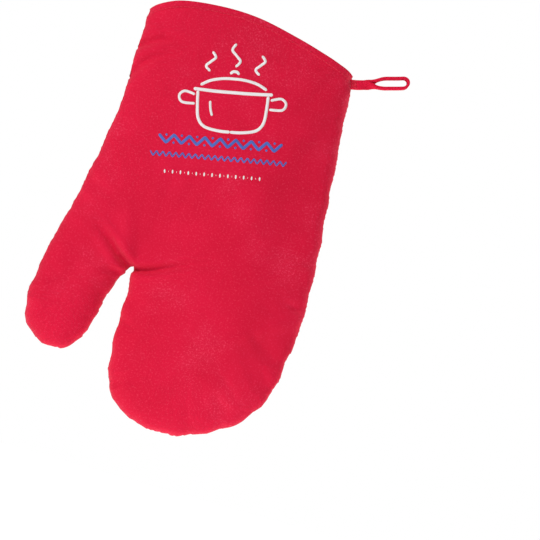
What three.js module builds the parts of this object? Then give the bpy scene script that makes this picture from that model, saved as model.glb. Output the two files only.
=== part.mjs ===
// A padded oven mitt: two panels (a plain back and a quilted palm), each of three layers (outer cloth,
// wadding, lining), sewn edge to edge round an open cuff, with a hanging loop of folded tape.
// Millimetres. +Z towards the cuff, the palm on +Y, the back on -Y, the thumb on -X.
// The origin is the middle of the cuff's mouth. The mitt folds at two lines, across the root of the
// thumb and across the root of the finger pouch, so each layer is three pieces that meet there.
import * as THREE from "three";

// Outline, from the cuff round each side to the crotch between thumb and fingers.
const CROTCH = [-40.6, -210];
const FINGER_SIDE = [
  [83, -20], [86.6, -56], [92, -120], [96, -162], [98.2, -210], [96.4, -240], [88, -283],
  [68, -309], [36, -325], [4, -328.6], [-22, -318], [-36.5, -297], [-39.8, -270], [-40, -238], CROTCH,
];
const THUMB_SIDE = [
  CROTCH, [-48.5, -222], [-55.5, -247], [-62.5, -272], [-76, -286], [-94, -286], [-108, -276],
  [-113.8, -254], [-111.5, -228], [-105.5, -202], [-95.2, -155], [-87.5, -112], [-84.2, -73],
  [-84.4, -44], [-83, -13],
];
const CUFF = [[-83, -13], [-60, -3], [-28, 1.2], [2, 0.4], [34, -6], [60, -13], [83, -20]];
const FINGER_FOLD_AT = 4; // place in FINGER_SIDE of the outer end of the finger fold
const THUMB_FOLD_AT = 10; // place in THUMB_SIDE of the outer end of the thumb fold

// Section through the mitt.
const HALF_DEPTH = 15; // from the seam plane to the face of a panel
const HALF_DEPTH_AT_SEAM = 2;
const ROUNDING = 32; // width of the rounded margin inside the seam
const RIM_SQUEEZE = [0.3, 0.45]; // binding presses the layers together at the cuff, ring by ring
const FOLD_GAP = 0.4;
const CLOTH = [0, 0.9];
const WADDING = { back: [1.2, 4.6], palm: [1.2, 6.2] };
const LINING = { back: [4.9, 5.5], palm: [6.5, 7.1] };
const STACK = 7.1;
const RINGS = [1, 0.985, 0.9, 0.66]; // nested outlines of the mesh, as shares of the way out

// Trim.
const QUILT_ANGLE = (42 * Math.PI) / 180;
const RISING_ROWS = { pitch: 43, past_crotch: 14.6 };
const FALLING_ROWS = { pitch: 40.5, past_crotch: 24 };
const THREAD = { width: 1.0, height: 0.6 };
const RIM_THREAD = { width: 0.9, height: 0.5, lift: 0.6 };
const RISING_LIFT = 0.5;
const FALLING_LIFT = 1.5; // these rows pass over the rising ones
const QUILT_STEP = 7;
const QUILT_MARGIN = 10;
const QUILT_REACH = { rows: 8, length: 400 }; // rows either side of the first, and half a row's length
const SHORTEST_ROW = 4; // points of a row worth sewing
const LEG = { back: 4.2, palm: 7 }; // how far the binding comes down each panel
const BINDING = { wall: 0.6, cap: 0.4, lip: 0.8, lift: 0.6, end: 5.5, behind: 1.4 };
const NEARBY = 2.5; // the binding clears the panel this far to each side of a section
const BINDING_TOP = 0.5; // its outer leg starts this far below the rim
const STITCH_BELOW_BINDING = 1.1;
const LOOP = { root: [87.4, 0, -25.6], tilt: 16.5, length: 42, width: 7, tape: 1.2, eye: [19, 40] };
const LOOP_OUTSIDE = { half: 4.4, near_tip: 4.3, tip: 1.8, tip_run: 0.5 };
const LOOP_INSIDE = { half: 3.2, near_tip: 3.1, tip: 1.7, tip_run: 0.4 };
const LOOP_PARTING = { from: -4, bend: 4, inner_bend: 5, full: 13 }; // measured from the eye's start
const TACK = { size: [1.6, 5, 7], at: [85.2, 0, -25.6] };

// Points along each run of an outline.
const POINTS = { seam: 90, cuff: 8, side: 6, pouch: 18, finger_fold: 4, thumb_fold: 3, binding: 36 };
const THINNEST = 0.2; // what squeezing leaves of a panel's height
const EDGE_TOLERANCE = -1e-6;

const RED = 0xdd1b40;
const WADDING_WHITE = 0xe9e4da;
const LINING_CREAM = 0xd8d2c4;
const THREAD_ROUGHNESS = 0.7;
const group = new THREE.Group();

function add(name, geometry, color = RED, roughness = 0.9) {
  const material = new THREE.MeshStandardMaterial({ color, roughness, metalness: 0 });
  const mesh = new THREE.Mesh(geometry, material);
  mesh.name = name;
  group.add(mesh);
  return mesh;
}

function curveOf(points) {
  return new THREE.SplineCurve(points.map(([x, z]) => new THREE.Vector2(x, z)));
}

// Points of a curve between two of its control points, ends included.
function stretch(points, from, to, count) {
  const curve = curveOf(points);
  const last = points.length - 1;
  return Array.from({ length: count + 1 }, (_, i) =>
    curve.getPoint((from + ((to - from) * i) / count) / last));
}

function straight(a, b, count) {
  return Array.from({ length: count + 1 }, (_, i) => a.clone().lerp(b, i / count));
}

function distanceToLine(p, line) {
  let best = Infinity;
  for (let i = 1; i < line.length; i++) {
    const a = line[i - 1];
    const along = line[i].clone().sub(a);
    const t = THREE.MathUtils.clamp(p.clone().sub(a).dot(along) / along.lengthSq(), 0, 1);
    best = Math.min(best, p.distanceTo(a.clone().addScaledVector(along, t)));
  }
  return best;
}

const SEAM = [
  stretch(FINGER_SIDE, 0, FINGER_SIDE.length - 1, POINTS.seam),
  stretch(THUMB_SIDE, 0, THUMB_SIDE.length - 1, POINTS.seam),
];

// Height of a panel's outer face above the seam plane.
function halfDepth(p) {
  const inward = Math.min(...SEAM.map((line) => distanceToLine(p, line))) / ROUNDING;
  const rise = Math.sqrt(1 - (1 - Math.min(inward, 1)) ** 2);
  return HALF_DEPTH_AT_SEAM + (HALF_DEPTH - HALF_DEPTH_AT_SEAM) * rise;
}

// The three parts of a panel: closed outlines whose runs are seam, fold or cuff.
function outline(...runs) {
  return runs.flatMap(([kind, points]) => points.slice(0, -1).map((p) => ({ p, kind })));
}

function regions() {
  const crotch = new THREE.Vector2(...CROTCH);
  const fingerEnd = new THREE.Vector2(...FINGER_SIDE[FINGER_FOLD_AT]);
  const thumbEnd = new THREE.Vector2(...THUMB_SIDE[THUMB_FOLD_AT]);
  const shift = (points, dx, dz) => points.map((p) => new THREE.Vector2(p.x + dx, p.y + dz));
  const half = FOLD_GAP / 2;
  const slant = half * Math.SQRT1_2;
  const fingerLast = FINGER_SIDE.length - 1;
  const thumbLast = THUMB_SIDE.length - 1;
  const fingerFold = straight(fingerEnd, crotch, POINTS.finger_fold);
  const thumbFold = straight(crotch, thumbEnd, POINTS.thumb_fold);
  return {
    hand: outline(
      ["cuff", stretch(CUFF, 0, CUFF.length - 1, POINTS.cuff)],
      ["seam", stretch(FINGER_SIDE, 0, FINGER_FOLD_AT, POINTS.side)],
      ["fold", shift(fingerFold, 0, half)],
      ["fold", shift(thumbFold, slant, slant)],
      ["seam", stretch(THUMB_SIDE, THUMB_FOLD_AT, thumbLast, POINTS.side)],
    ),
    fingers: outline(
      ["seam", stretch(FINGER_SIDE, FINGER_FOLD_AT, fingerLast, POINTS.pouch)],
      ["fold", fingerFold.slice().reverse()],
    ).map(({ p, kind }) => ({ p: new THREE.Vector2(p.x, Math.min(p.y, fingerEnd.y - half)), kind })),
    thumb: outline(
      ["seam", shift(stretch(THUMB_SIDE, 0, THUMB_FOLD_AT, POINTS.pouch), -slant, -slant)],
      ["fold", shift(thumbFold, -slant, -slant).reverse()],
    ),
  };
}

// A panel part as nested rings round its middle: places, heights and how far its layers are squeezed.
function ringed(edge) {
  const middle = edge.reduce((sum, { p }) => sum.add(p), new THREE.Vector2()).divideScalar(edge.length);
  const node = (p, kind, ring) => {
    const height = halfDepth(p);
    const room = Math.min(1, (height - THINNEST) / STACK);
    const pressed = (kind === "cuff" && RIM_SQUEEZE[ring]) || 1;
    return { p, height, squeeze: Math.min(room, pressed) };
  };
  const rings = RINGS.map((share, ring) =>
    edge.map(({ p, kind }) => node(middle.clone().lerp(p, share), kind, ring)));
  return { edge, rings, middle: node(middle) };
}

function closedGeometry(positions, triangles) {
  let volume = 0;
  const v = (i) => new THREE.Vector3().fromArray(positions, 3 * i);
  for (let i = 0; i < triangles.length; i += 3) {
    const [a, b, c] = [0, 1, 2].map((k) => v(triangles[i + k]));
    volume += a.dot(b.cross(c));
  }
  if (volume < 0) triangles.reverse();
  const geometry = new THREE.BufferGeometry();
  geometry.setAttribute("position", new THREE.Float32BufferAttribute(positions, 3));
  geometry.setIndex(triangles);
  geometry.computeVertexNormals();
  return geometry;
}

// One layer of one panel part: the space between two depths below the panel's outer face. A short
// layer stops at the second ring, except where it meets its neighbour at a fold.
function layer(part, side, [outside, inside], short = false) {
  const count = part.edge.length;
  const nodes = [...part.rings.flat(), part.middle];
  const other = nodes.length;
  const faces = [];
  for (let i = 0; i < count; i++) {
    const next = (i + 1) % count;
    for (let j = short && part.edge[i].kind !== "fold" ? 1 : 0; j + 1 < RINGS.length; j++) {
      const [a, b] = [j * count + i, j * count + next];
      faces.push([a, b, b + count], [a, b + count, a + count]);
    }
    const inner = (RINGS.length - 1) * count;
    faces.push([inner + i, inner + next, other - 1]);
  }
  const sides = faces.flatMap(([a, b, c]) => [[a, b], [b, c], [c, a]]);
  const used = new Set(sides.map(String));
  const rim = sides.filter(([a, b]) => !used.has(String([b, a])));
  const triangles = [
    ...faces.flatMap(([a, b, c]) => [a, b, c, other + a, other + c, other + b]),
    ...rim.flatMap(([a, b]) => [a, other + a, b, b, other + a, other + b]),
  ];
  const face = (depth) => nodes.flatMap((n) => [n.p.x, side * (n.height - n.squeeze * depth), n.p.y]);
  return closedGeometry([...face(outside), ...face(inside)], triangles);
}

// Height of a panel part's faceted outer face at a place, or null outside it.
function heightAt(part, p) {
  const count = part.edge.length;
  const tri = (a, b, c) => {
    const area = (q, r, s) => (r.p.x - q.p.x) * (s.p.y - q.p.y) - (r.p.y - q.p.y) * (s.p.x - q.p.x);
    const here = { p };
    const whole = area(a, b, c);
    const [wa, wb, wc] = [area(here, b, c) / whole, area(a, here, c) / whole, area(a, b, here) / whole];
    if (Math.min(wa, wb, wc) < EDGE_TOLERANCE) return null;
    return wa * a.height + wb * b.height + wc * c.height;
  };
  for (let i = 0; i < count; i++) {
    const next = (i + 1) % count;
    for (let j = 0; j < RINGS.length; j++) {
      const [a, b] = [part.rings[j][i], part.rings[j][next]];
      const inner = part.rings[j + 1];
      const found = inner
        ? tri(a, b, inner[next]) ?? tri(a, inner[next], inner[i])
        : tri(a, b, part.middle);
      if (found !== null) return found;
    }
  }
  return null;
}

// A solid swept through sections. A section's ring of points runs out along one chain and back along
// another with as many points, and the end faces are ladders between the two.
function lofted(sections) {
  const size = sections[0].length;
  const last = (sections.length - 1) * size;
  const triangles = [];
  for (let k = 0; k < last; k += size)
    for (let i = 0; i < size; i++) {
      const [a, b] = [k + i, k + ((i + 1) % size)];
      triangles.push(a, b, b + size, a, b + size, a + size);
    }
  for (let i = 0; i + 1 < size / 2; i++) {
    const [a, b, c, d] = [i, i + 1, size - 2 - i, size - 1 - i];
    triangles.push(b, a, d, b, d, c, last + a, last + b, last + c, last + a, last + c, last + d);
  }
  return closedGeometry(sections.flat(2), triangles);
}

// A flat thread or tape that follows a path over the outer face of a panel part.
function onFace(part, side, path, { width, height, lift }) {
  const sections = path.map((p, i) => {
    const along = path[Math.min(i + 1, path.length - 1)].clone().sub(path[Math.max(i - 1, 0)]).normalize();
    const across = new THREE.Vector2(-along.y, along.x).multiplyScalar(width / 2);
    const [left, right] = [p.clone().add(across), p.clone().sub(across)];
    const low = Math.max(heightAt(part, left) ?? 0, heightAt(part, right) ?? 0, heightAt(part, p)) + lift;
    const corner = (q, y) => [q.x, side * y, q.y];
    return [corner(left, low), corner(right, low), corner(right, low + height), corner(left, low + height)];
  });
  return lofted(sections);
}

function inside(edge, p) {
  let crossings = 0;
  edge.forEach(({ p: a }, i) => {
    const b = edge[(i + 1) % edge.length].p;
    if (a.y > p.y !== b.y > p.y && p.x < a.x + ((b.x - a.x) * (p.y - a.y)) / (b.y - a.y)) crossings++;
  });
  return crossings % 2 === 1;
}

// Quilting rows of one direction on the palm of one part, each a single run of thread.
function quiltRows(name, part, slope, { pitch, past_crotch }, lift) {
  const along = new THREE.Vector2(Math.cos(QUILT_ANGLE), slope * Math.sin(QUILT_ANGLE));
  const across = new THREE.Vector2(Math.sin(QUILT_ANGLE), -slope * Math.cos(QUILT_ANGLE));
  const first = across.dot(new THREE.Vector2(...CROTCH)) + past_crotch;
  const closed = [...part.edge.map(({ p }) => p), part.edge[0].p];
  let made = 0;
  for (let k = -QUILT_REACH.rows; k <= QUILT_REACH.rows; k++) {
    const path = [];
    for (let s = -QUILT_REACH.length; s <= QUILT_REACH.length; s += QUILT_STEP) {
      const p = across.clone().multiplyScalar(first + k * pitch).addScaledVector(along, s);
      if (inside(part.edge, p) && distanceToLine(p, closed) > QUILT_MARGIN) path.push(p);
    }
    if (path.length < SHORTEST_ROW) continue;
    made++;
    add(name + "_" + made, onFace(part, 1, path, { ...THREAD, lift }), RED, THREAD_ROUGHNESS);
  }
}

// Places along the cuff's rim where the panel stands high enough to carry the binding.
function rimPath() {
  const [rimEnd] = CUFF[CUFF.length - 1];
  const path = stretch(CUFF, 0, CUFF.length - 1, POINTS.binding);
  return path.filter((p) => Math.abs(p.x) < rimEnd - BINDING.end);
}

// The folded strip over the cuff's raw edge: a leg down the outside, a cap, and a short lip inside.
function binding(part, side, reach) {
  const { wall, cap, lip, lift } = BINDING;
  const squeezed = RIM_SQUEEZE[0] * STACK;
  const sections = rimPath().map((p) => {
    const around = (drop) => [-NEARBY, 0, NEARBY].map((dx) => {
      const q = new THREE.Vector2(p.x + dx, p.y - drop);
      return heightAt(part, q) ?? halfDepth(q);
    });
    const drops = [BINDING_TOP, reach / 3, reach / 1.5, reach];
    const leg = drops.map((drop) => ({ drop, y: Math.max(...around(drop)) + lift }));
    const at = (y, drop) => [p.x, side * y, p.y - drop];
    const top = leg[0].y;
    const behind = Math.min(...around(BINDING_TOP)) - squeezed - BINDING.behind;
    const under = leg.map(({ y, drop }) => at(y, drop)).reverse();
    const over = leg.map(({ y, drop }) => at(y + wall, drop));
    return [
      ...under, at(top, -cap), at(behind, -cap), at(behind, lip),
      at(behind - wall, lip), at(behind - wall, -cap - wall), at(top + wall, -cap - wall), ...over,
    ];
  });
  return lofted(sections);
}

function rimStitching(part, side, reach) {
  const drop = reach + STITCH_BELOW_BINDING;
  const path = rimPath().slice(1, -1).map((p) => new THREE.Vector2(p.x, p.y - drop));
  return onFace(part, side, path, RIM_THREAD);
}

// Two runs of tape side by side that part into a long eye and meet in a square end.
function loopGeometry() {
  const { length, width, tape, eye } = LOOP;
  const { from, bend, inner_bend, full } = LOOP_PARTING;
  const [start, end] = eye;
  const out = LOOP_OUTSIDE;
  const shape = new THREE.Shape();
  shape.moveTo(0, -tape);
  shape.lineTo(start + from, -tape);
  shape.quadraticCurveTo(start + bend, -out.half, start + full, -out.half);
  shape.quadraticCurveTo(length - out.tip_run, -out.near_tip, length, -out.tip);
  shape.lineTo(length, out.tip);
  shape.quadraticCurveTo(length - out.tip_run, out.near_tip, start + full, out.half);
  shape.quadraticCurveTo(start + bend, out.half, start + from, tape);
  shape.lineTo(0, tape);
  const inner = LOOP_INSIDE;
  const hole = new THREE.Path();
  hole.moveTo(start, 0);
  hole.quadraticCurveTo(start + inner_bend, inner.half, start + full, inner.half);
  hole.quadraticCurveTo(end - inner.tip_run, inner.near_tip, end, inner.tip);
  hole.lineTo(end, -inner.tip);
  hole.quadraticCurveTo(end - inner.tip_run, -inner.near_tip, start + full, -inner.half);
  hole.quadraticCurveTo(start + inner_bend, -inner.half, start, 0);
  shape.holes.push(hole);
  const geometry = new THREE.ExtrudeGeometry(shape, { depth: width, bevelEnabled: false, curveSegments: 5 });
  return geometry.translate(0, 0, -width / 2).rotateX(Math.PI / 2);
}

function hangingLoop() {
  const loop = add("hanging_loop", loopGeometry());
  loop.position.set(...LOOP.root);
  loop.rotation.y = THREE.MathUtils.degToRad(-LOOP.tilt);
}

function loopTack() {
  const tack = add("loop_bar_tack", new THREE.BoxGeometry(...TACK.size), RED, THREAD_ROUGHNESS);
  tack.position.set(...TACK.at);
}

for (const [name, edge] of Object.entries(regions())) {
  const part = ringed(edge);
  for (const [panel, side] of [["back", -1], ["palm", 1]]) {
    add(`${panel}_cloth_${name}`, layer(part, side, CLOTH));
    add(`${panel}_wadding_${name}`, layer(part, side, WADDING[panel], true), WADDING_WHITE, 1);
    add(`${panel}_lining_${name}`, layer(part, side, LINING[panel]), LINING_CREAM, 1);
  }
  quiltRows("quilting_rising_" + name, part, 1, RISING_ROWS, RISING_LIFT);
  quiltRows("quilting_falling_" + name, part, -1, FALLING_ROWS, FALLING_LIFT);
  if (name !== "hand") continue;
  add("cuff_hem_back", binding(part, -1, LEG.back));
  add("cuff_binding_palm", binding(part, 1, LEG.palm));
  add("hem_stitching_back", rimStitching(part, -1, LEG.back), RED, THREAD_ROUGHNESS);
  add("binding_stitching_palm", rimStitching(part, 1, LEG.palm), RED, THREAD_ROUGHNESS);
}
hangingLoop();
loopTack();

export default group;
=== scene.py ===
# %% [markdown]
# # An oven mitt, sewn and filled
# The mitt is two padded panels, a plain back and a quilted palm, sewn together round everything but
# the cuff. This lesson cuts the pattern, sews the panels, lets a cloth simulation fill them, and then
# adds the lining, the cuff's binding, the hanging loop, the print and the stitches.
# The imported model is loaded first. It fixes the size, the place of the folds and what moves with what.

# %% Load the frame
import math

import bmesh
import bpy
import numpy as np
from mathutils import Matrix, Vector
from mathutils.bvhtree import BVHTree
from mathutils.geometry import delaunay_2d_cdt


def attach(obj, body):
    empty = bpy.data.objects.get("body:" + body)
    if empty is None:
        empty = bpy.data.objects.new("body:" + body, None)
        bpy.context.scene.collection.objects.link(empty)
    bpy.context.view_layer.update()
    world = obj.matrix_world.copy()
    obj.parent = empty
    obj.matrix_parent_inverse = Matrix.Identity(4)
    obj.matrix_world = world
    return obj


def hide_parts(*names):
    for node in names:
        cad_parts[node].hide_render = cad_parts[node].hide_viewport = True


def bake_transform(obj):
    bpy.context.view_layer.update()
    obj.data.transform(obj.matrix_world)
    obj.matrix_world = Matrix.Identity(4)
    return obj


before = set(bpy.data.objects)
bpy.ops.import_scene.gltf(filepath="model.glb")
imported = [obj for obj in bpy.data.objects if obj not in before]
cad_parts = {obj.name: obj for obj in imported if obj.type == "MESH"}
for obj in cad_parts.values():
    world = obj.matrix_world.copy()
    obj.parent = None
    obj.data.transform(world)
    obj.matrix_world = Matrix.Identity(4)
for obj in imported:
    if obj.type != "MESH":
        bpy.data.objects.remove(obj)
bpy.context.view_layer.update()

MM = 0.001
TURN = 2 * math.pi
scene = bpy.context.scene

# %% [markdown]
# ## Camera, light and floor
# The mitt is seen square on from its plain side, turned a little in its own plane, through a long
# lens, so that its outline is true. A camera can be aimed with a constraint, but its own axes written
# as a matrix are exact and need nothing else in the scene.

# %% The camera
LENS_MM = 85
VIEW_DISTANCE = 0.992
ROLL = math.radians(16)
VIEW_CENTRE = Vector((0.0626, 0.0, -0.183))

camera_data = bpy.data.cameras.new("camera")
camera_data.lens = LENS_MM
camera_data.sensor_width = 36
camera = bpy.data.objects.new("camera", camera_data)
scene.collection.objects.link(camera)
right = Vector((math.cos(ROLL), 0, math.sin(ROLL)))
up = Vector((-math.sin(ROLL), 0, math.cos(ROLL)))
back = Vector((0, -1, 0))
place = VIEW_CENTRE + back * VIEW_DISTANCE
camera.matrix_world = Matrix.Translation(place) @ Matrix((right, up, back)).transposed().to_4x4()
scene.camera = camera
scene.view_settings.view_transform = "Standard"
print("camera at", [round(v, 3) for v in place])

# %% [markdown]
# A softbox is an area light: the larger it is, the softer the shadow's edge. The key light is up and
# to the left, so that folds which cross its direction read clearly. A wide, weak one fills its shadows,
# and one almost as strong as the key stands behind for the quilted side. The rest is even light from a
# white surround, which the camera sees as plain white while the cloth gets only part of it.

# %% Lights, surround and floor
def softbox(name, place, aim, size, watts):
    data = bpy.data.lights.new(name, "AREA")
    data.size = size
    data.energy = watts
    lamp = bpy.data.objects.new(name, data)
    scene.collection.objects.link(lamp)
    lamp.location = place
    lamp.rotation_euler = (Vector(aim) - Vector(place)).to_track_quat("-Z", "Y").to_euler()


MIDDLE = (0.0, 0.0, -0.17)
SOFTBOXES = {  # place and size in metres, power in watts
    "key": ((-1.15, -0.95, 0.95), 0.5, 23),
    "fill": ((0.9, -1.5, 0.0), 1.2, 4.5),
    "key_behind": ((1.25, 0.75, 0.9), 0.4, 22),
}
for name, (place, size, watts) in SOFTBOXES.items():
    softbox(name, place, MIDDLE, size, watts)

LIGHT_ON_CLOTH, LIGHT_SEEN = 0.3, 1.0
world = bpy.data.worlds.new("white surround")
world.use_nodes = True
scene.world = world
nodes, links = world.node_tree.nodes, world.node_tree.links
seen = nodes.new("ShaderNodeLightPath")
strength = nodes.new("ShaderNodeMix")
strength.inputs["A"].default_value = LIGHT_ON_CLOTH
strength.inputs["B"].default_value = LIGHT_SEEN
links.new(seen.outputs["Is Camera Ray"], strength.inputs["Factor"])
links.new(strength.outputs["Result"], nodes["Background"].inputs["Strength"])
nodes["Background"].inputs["Color"].default_value = (1, 1, 1, 1)

FLOOR_Z, FLOOR_SIZE = -0.55, 1.9
PALE = {"Base Color": (0.95, 0.95, 0.95, 1), "Roughness": 0.9, "Specular IOR Level": 0.1,
        "Emission Color": (1, 1, 1, 1), "Emission Strength": 0.8}
bpy.ops.mesh.primitive_plane_add(size=FLOOR_SIZE, location=(0, 0, FLOOR_Z))
floor = bpy.context.object
floor.name = "floor"
pale = bpy.data.materials.new("pale floor")
pale.use_nodes = True
for name, value in PALE.items():
    pale.node_tree.nodes["Principled BSDF"].inputs[name].default_value = value
floor.data.materials.append(pale)
print("lights", len(SOFTBOXES), "floor at", FLOOR_Z)

# %% [markdown]
# ## The pattern
# Every panel is cut to one outline: down the finger side from the cuff, round to the crotch between
# fingers and thumb, and round the thumb back up to the cuff. A smooth curve through a few points is how
# a pattern cutter draws it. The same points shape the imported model, in millimetres.

# %% Outline of the mitt
CROTCH = (-40.6, -210)
FINGER_SIDE = [
    (83, -20), (86.6, -56), (92, -120), (96, -162), (98.2, -210), (96.4, -240), (88, -283),
    (68, -309), (36, -325), (4, -328.6), (-22, -318), (-36.5, -297), (-39.8, -270), (-40, -238), CROTCH,
]
THUMB_SIDE = [
    CROTCH, (-48.5, -222), (-55.5, -247), (-62.5, -272), (-76, -286), (-94, -286), (-108, -276),
    (-113.8, -254), (-111.5, -228), (-105.5, -202), (-95.2, -155), (-87.5, -112), (-84.2, -73),
    (-84.4, -44), (-83, -13),
]
CUFF = [(-83, -13), (-60, -3), (-28, 1.2), (2, 0.4), (34, -6), (60, -13), (83, -20)]
FINGER_FOLD_AT = 4
THUMB_FOLD_AT = 10
STEP = 3.0
POINTS_PER_SPAN = 40


def smooth(points, first=0, last=None):
    """The smooth curve through a run of the points, as many close points."""
    last = len(points) - 1 if last is None else last
    p = np.array(points, float)
    t = np.linspace(0, 1, POINTS_PER_SPAN, endpoint=False)[:, None]
    runs = []
    for i in range(first, last):
        a, b = p[i], p[i + 1]
        slope_a = (b - p[max(i - 1, 0)]) / 2
        slope_b = (p[min(i + 2, len(p) - 1)] - a) / 2
        runs.append(a + t * slope_a + t**2 * (3 * (b - a) - 2 * slope_a - slope_b)
                    + t**3 * (2 * (a - b) + slope_a + slope_b))
    return np.vstack(runs + [p[last : last + 1]])


def spaced(line, step):
    """Points at even distances along a line, both ends kept."""
    line = np.asarray(line, float)
    far = np.concatenate([[0], np.cumsum(np.linalg.norm(np.diff(line, axis=0), axis=1))])
    at = np.linspace(0, far[-1], max(2, round(far[-1] / step) + 1))
    return np.stack([np.interp(at, far, line[:, k]) for k in range(line.shape[1])], axis=1)


def nearest_to(place, places):
    """The number of the nearest of several places."""
    return int(np.argmin(((places - place) ** 2).sum(axis=1)))


def signed_area(ring):
    """The area inside a flat ring of points, positive when it runs anticlockwise."""
    after = np.roll(ring, -1, axis=0)
    return (ring[:, 0] * after[:, 1] - after[:, 0] * ring[:, 1]).sum() / 2


def distance_to(points, line):
    """How far each point is from a line, and how far along the line its nearest place is."""
    best = np.full(len(points), np.inf)
    along = np.zeros(len(points))
    start = 0.0
    for a, b in zip(line[:-1], line[1:]):
        run = b - a
        length = np.linalg.norm(run)
        t = np.clip((points - a) @ run / length**2, 0, 1)
        d = np.linalg.norm(points - (a + t[:, None] * run), axis=1)
        nearer = d < best
        best = np.where(nearer, d, best)
        along = np.where(nearer, start + t * length, along)
        start += length
    return best, along / start


rim = spaced(smooth(CUFF), STEP)
finger_side = np.vstack([spaced(smooth(FINGER_SIDE, 0, FINGER_FOLD_AT), STEP)[:-1],
                         spaced(smooth(FINGER_SIDE, FINGER_FOLD_AT), STEP)])
thumb_side = np.vstack([spaced(smooth(THUMB_SIDE, 0, THUMB_FOLD_AT), STEP)[:-1],
                        spaced(smooth(THUMB_SIDE, THUMB_FOLD_AT), STEP)])
finger_fold = spaced([FINGER_SIDE[FINGER_FOLD_AT], CROTCH], STEP)
thumb_fold = spaced([CROTCH, THUMB_SIDE[THUMB_FOLD_AT]], STEP)
print("outline", len(rim) + len(finger_side) + len(thumb_side), "points")

# %% [markdown]
# ## Quilting rows
# The palm is quilted in diamonds: two sets of parallel rows that cross. The mesh is a lattice laid
# along the rows, so that every row runs through vertices and can be drawn in cleanly, and where a row
# meets the outline or a fold the nearest point there moves onto it.

# %% The rows and the lattice
QUILT_ANGLE = math.radians(42)
RISING_PITCH, RISING_PAST_CROTCH = 43.0, 14.6
FALLING_PITCH, FALLING_PAST_CROTCH = 40.5, 24.0
SIN, COS = math.sin(QUILT_ANGLE), math.cos(QUILT_ANGLE)
rising_first = SIN * CROTCH[0] - COS * CROTCH[1] + RISING_PAST_CROTCH
falling_first = SIN * CROTCH[0] + COS * CROTCH[1] + FALLING_PAST_CROTCH


def across_rows(points):
    """Each point's signed place across the rising and the falling rows, counted in rows."""
    rising = (SIN * points[:, 0] - COS * points[:, 1] - rising_first) / RISING_PITCH
    falling = (SIN * points[:, 0] + COS * points[:, 1] - falling_first) / FALLING_PITCH
    return rising, falling


def snap_to_rows(line):
    """Move the nearest inner point of a line onto each place where a row crosses it."""
    line = line.copy()
    for axis in (0, 1):
        count = across_rows(line)[axis]
        for i in range(len(line) - 1):
            low, high = sorted((count[i], count[i + 1]))
            for row in range(math.ceil(low), math.floor(high) + 1):
                t = (row - count[i]) / (count[i + 1] - count[i])
                target = i if t < 0.5 else i + 1
                if 0 < target < len(line) - 1:
                    line[target] = line[i] + t * (line[i + 1] - line[i])
    return line


finger_side = snap_to_rows(finger_side)
thumb_side = snap_to_rows(thumb_side)
finger_fold = snap_to_rows(finger_fold)
thumb_fold = snap_to_rows(thumb_fold)
outline = np.vstack([rim[:-1], finger_side[:-1], thumb_side[:-1]])
closed_outline = np.vstack([outline, outline[:1]])
seam_line = np.vstack([finger_side, thumb_side[1:]])

LATTICE = 14  # lattice lines from one row to the next
LATTICE_ROWS = 20
CLEAR_OF_LINES = 0.55 * STEP
steps = np.arange(-LATTICE_ROWS * LATTICE, LATTICE_ROWS * LATTICE) / LATTICE
rising_steps, falling_steps = np.meshgrid(steps, steps)
rising_at = rising_first + rising_steps.ravel() * RISING_PITCH
falling_at = falling_first + falling_steps.ravel() * FALLING_PITCH
lattice = np.stack([(rising_at + falling_at) / (2 * SIN), (falling_at - rising_at) / (2 * COS)], axis=1)


def inside(points, ring):
    """Which points lie inside a closed ring: a line drawn sideways from them crosses it an odd number
    of times."""
    crossings = np.zeros(len(points), int)
    for a, b in zip(ring, np.roll(ring, -1, axis=0)):
        spans = (a[1] > points[:, 1]) != (b[1] > points[:, 1])
        with np.errstate(divide="ignore", invalid="ignore"):
            x = a[0] + (b[0] - a[0]) * (points[:, 1] - a[1]) / (b[1] - a[1])
        crossings += spans & (points[:, 0] < x)
    return crossings % 2 == 1


lattice = lattice[inside(lattice, outline)]
for line in (closed_outline, finger_fold, thumb_fold):
    lattice = lattice[distance_to(lattice, line)[0] > CLEAR_OF_LINES]
print("lattice", len(lattice), "points")

# %% Triangles of the panel
flat = np.vstack([outline, finger_fold[1:-1], thumb_fold[1:-1], lattice])
finger_end = nearest_to(FINGER_SIDE[FINGER_FOLD_AT], outline)
thumb_end = nearest_to(THUMB_SIDE[THUMB_FOLD_AT], outline)
crotch_at = len(rim) - 1 + len(finger_side) - 1
first_fold = len(outline)
first_thumb_fold = first_fold + len(finger_fold) - 2


def chain(start, inner_first, count, end):
    """The edges of a fold, from one point of the outline through its inner points to another."""
    run = [start, *range(inner_first, inner_first + count), end]
    return list(zip(run[:-1], run[1:]))


folds = (chain(finger_end, first_fold, len(finger_fold) - 2, crotch_at)
         + chain(crotch_at, first_thumb_fold, len(thumb_fold) - 2, thumb_end))
cut = delaunay_2d_cdt([Vector(p) for p in flat], folds, [list(range(len(outline)))], 1, 1e-5)
pattern = np.array([tuple(v) for v in cut[0]])
triangles = np.array([f for f in cut[2] if len(f) == 3])
print("pattern", len(pattern), "points", len(triangles), "triangles",
      "area", round(float(sum(abs(signed_area(pattern[t])) for t in triangles)) * MM**2, 4), "m2")

# %% [markdown]
# ## The filled form
# A sewn mitt lies nearly flat and its edges round off within two finger widths of the seam, because the
# wadding is a sheet and not a stuffing. So the start shape is a low dome over the pattern, with the
# quilting rows pressed into the palm. The cloth simulation then gives what no formula does: the fullness
# between the rows. Folds and puckers follow once the form is smooth.

# %% Depth of the two faces
HALF_DEPTH = {"back": 12.0, "palm": 15.0}
ROUNDING, DOME_POWER = 27.0, 2.6
ROW_DEPTH, ROW_WIDTH, ROW_FADE = 5.0, 3.6, 14.0
seam_distance = distance_to(pattern, seam_line)[0]
dome = 1 - (1 - np.minimum(seam_distance / ROUNDING, 1)) ** DOME_POWER

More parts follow.
